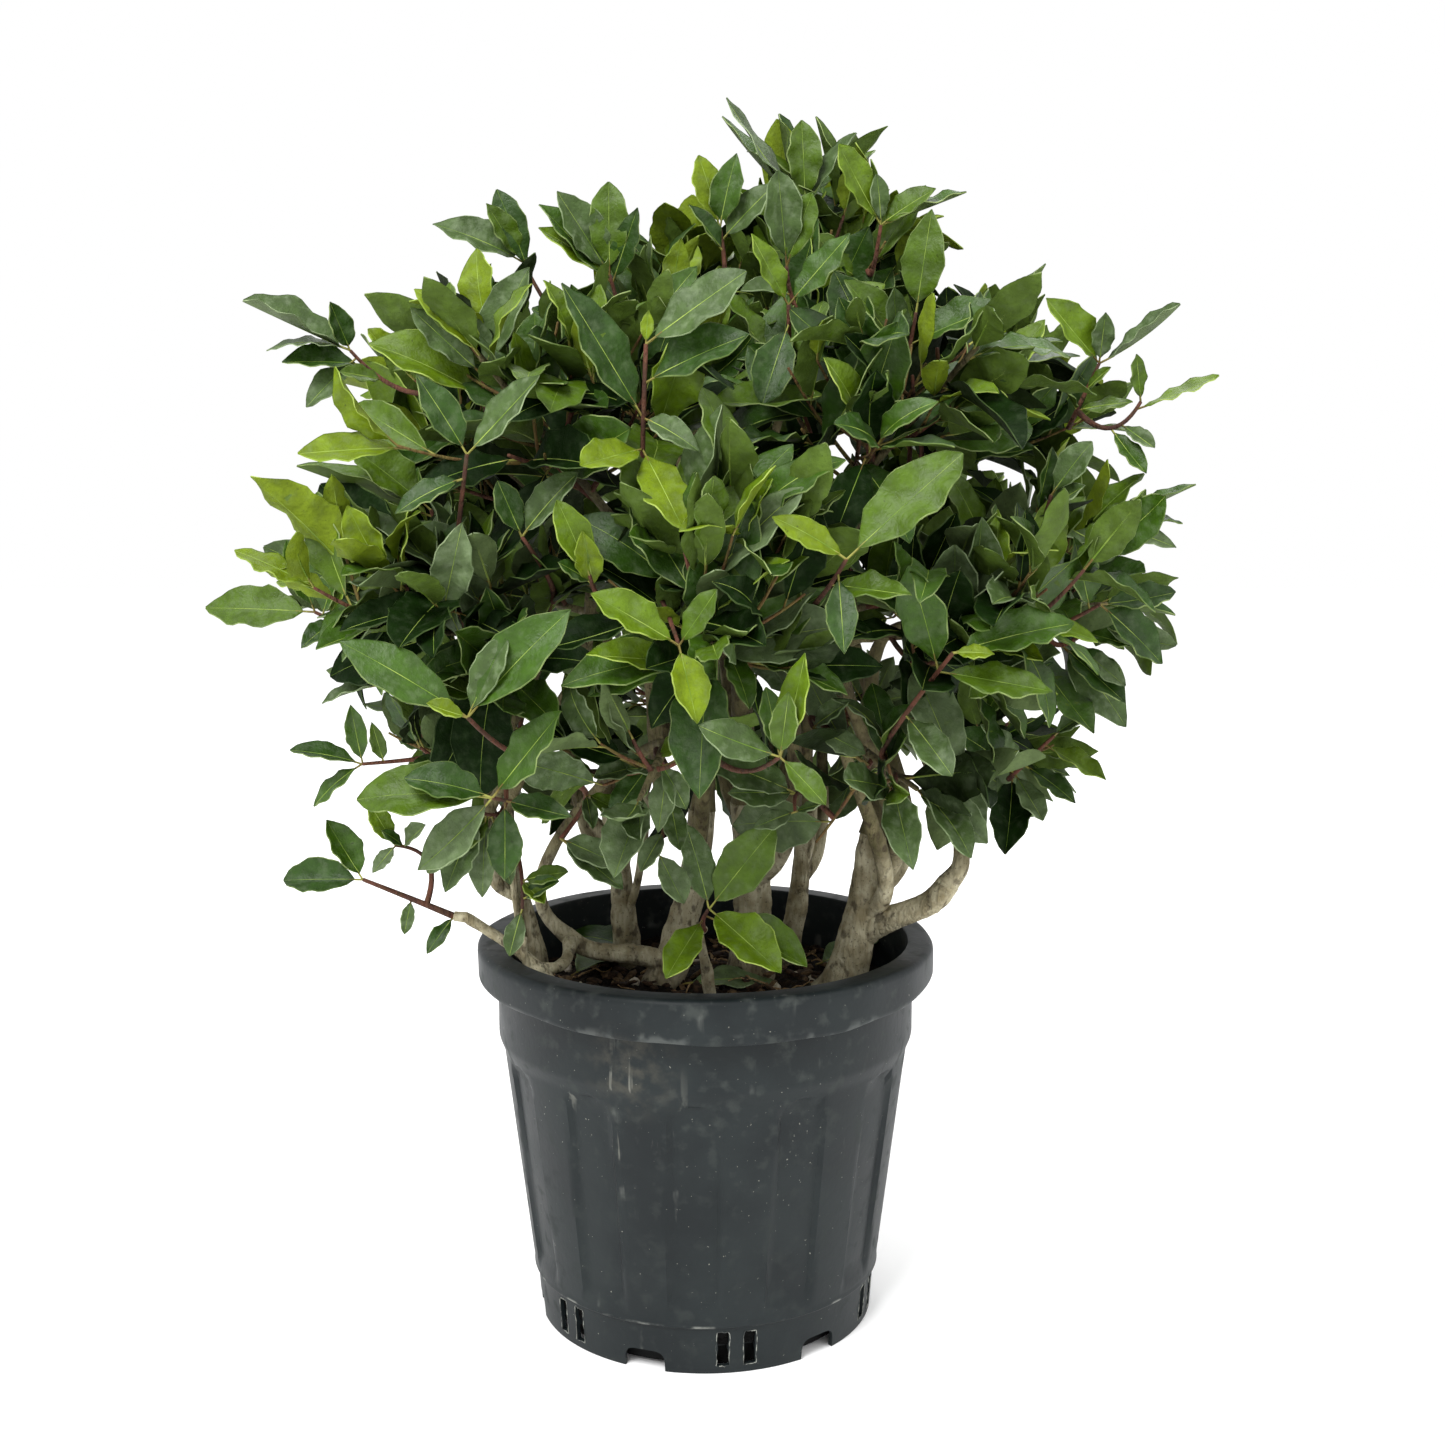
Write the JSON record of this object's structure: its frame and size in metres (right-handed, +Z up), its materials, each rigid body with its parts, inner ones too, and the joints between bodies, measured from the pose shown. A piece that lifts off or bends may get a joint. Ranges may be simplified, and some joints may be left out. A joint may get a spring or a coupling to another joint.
{
  "type": "potted bay laurel shrub",
  "caption": "Bushy evergreen bay laurel with several stems from the soil and dense leafy masses, growing in a round tapered nursery pot.",
  "frame": {"origin": "on the ground under the middle of the pot, at the centre of the bounding box's underside", "axes": "+Z up along the pot's axis, -Y towards the side that the picture shows, +X to its right"},
  "size_m": [0.6027, 0.5794, 0.7205],
  "materials": {
    "pot": "matt dark grey moulded plastic with a thin coat of dust, scuffed on the rim",
    "soil": "dark brown bark compost",
    "bark": "smooth grey-brown bark with knots and faint rings",
    "young_bark": "smooth olive-brown young bark",
    "foliage": "satin evergreen leaves, fresh green at the tips and dusty grey-green low down"
  },
  "bodies": {
    "root": {"pot": "pot", "soil": "soil", "stem_right": "bark", "stem_rear": "bark", "stem_middle": "bark", "stem_left": "bark", "stem_back": "bark", "stem_side": "bark", "stem_low_left": "bark", "stem_front": "bark", "limb_creeping": "bark", "limb_right_knee": "bark", "bough_low_0": "young_bark", "bough_low_1": "young_bark", "bough_low_2": "young_bark", "bough_low_3": "young_bark", "bough_low_4": "young_bark", "bough_low_5": "young_bark", "bough_low_6": "young_bark", "bough_middle_0": "young_bark", "bough_middle_1": "young_bark", "bough_middle_2": "young_bark", "bough_middle_3": "young_bark", "bough_middle_4": "young_bark", "bough_middle_5": "young_bark", "bough_middle_6": "young_bark", "bough_middle_7": "young_bark", "bough_shoulder_0": "young_bark", "bough_shoulder_1": "young_bark", "bough_shoulder_2": "young_bark", "bough_shoulder_3": "young_bark", "bough_shoulder_4": "young_bark", "bough_top_0": "young_bark", "bough_top_1": "young_bark", "bough_top_2": "young_bark", "foliage_low_0": "foliage", "foliage_low_1": "foliage", "foliage_low_2": "foliage", "foliage_low_3": "foliage", "foliage_low_4": "foliage", "foliage_low_5": "foliage", "foliage_low_6": "foliage", "foliage_middle_0": "foliage", "foliage_middle_1": "foliage", "foliage_middle_2": "foliage", "foliage_middle_3": "foliage", "foliage_middle_4": "foliage", "foliage_middle_5": "foliage", "foliage_middle_6": "foliage", "foliage_middle_7": "foliage", "foliage_shoulder_0": "foliage", "foliage_shoulder_1": "foliage", "foliage_shoulder_2": "foliage", "foliage_shoulder_3": "foliage", "foliage_shoulder_4": "foliage", "foliage_top_0": "foliage", "foliage_top_1": "foliage", "foliage_top_2": "foliage", "foliage_spray_left": "foliage", "foliage_spray_front": "foliage"}
  },
  "joints": []
}
